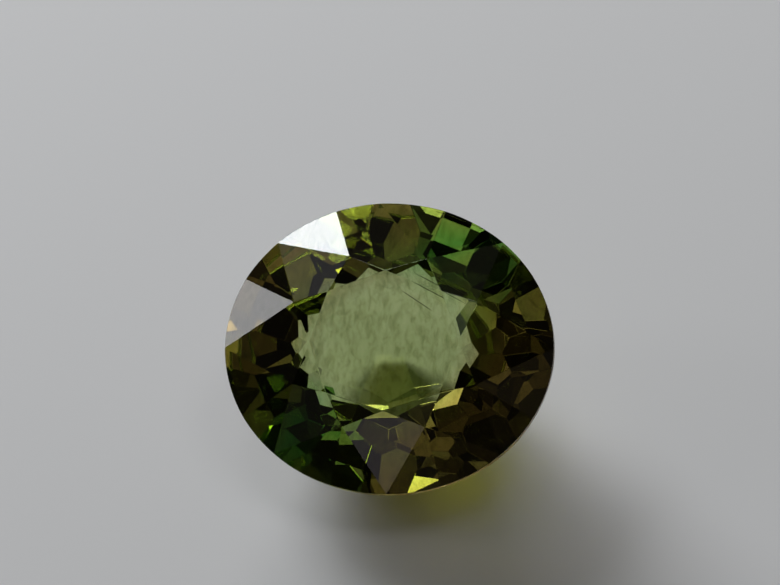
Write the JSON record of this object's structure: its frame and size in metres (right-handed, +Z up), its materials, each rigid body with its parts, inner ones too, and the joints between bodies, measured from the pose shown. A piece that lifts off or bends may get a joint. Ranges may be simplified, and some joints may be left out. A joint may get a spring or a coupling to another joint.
{
  "type": "faceted tourmaline gemstone",
  "caption": "Green tourmaline cut as an oval brilliant, lying loose on a pavilion facet; a transparent stone to set or display.",
  "frame": {"origin": "on the surface the stone lies on, under the middle of its bounding box", "axes": "+Z up; +X along the stone's long axis; the table leans towards -Y"},
  "size_m": [0.008, 0.0066, 0.0042],
  "materials": {
    "tourmaline_crystal": "polished, see-through olive green"
  },
  "bodies": {
    "root": {"tourmaline": "tourmaline_crystal"}
  },
  "joints": []
}
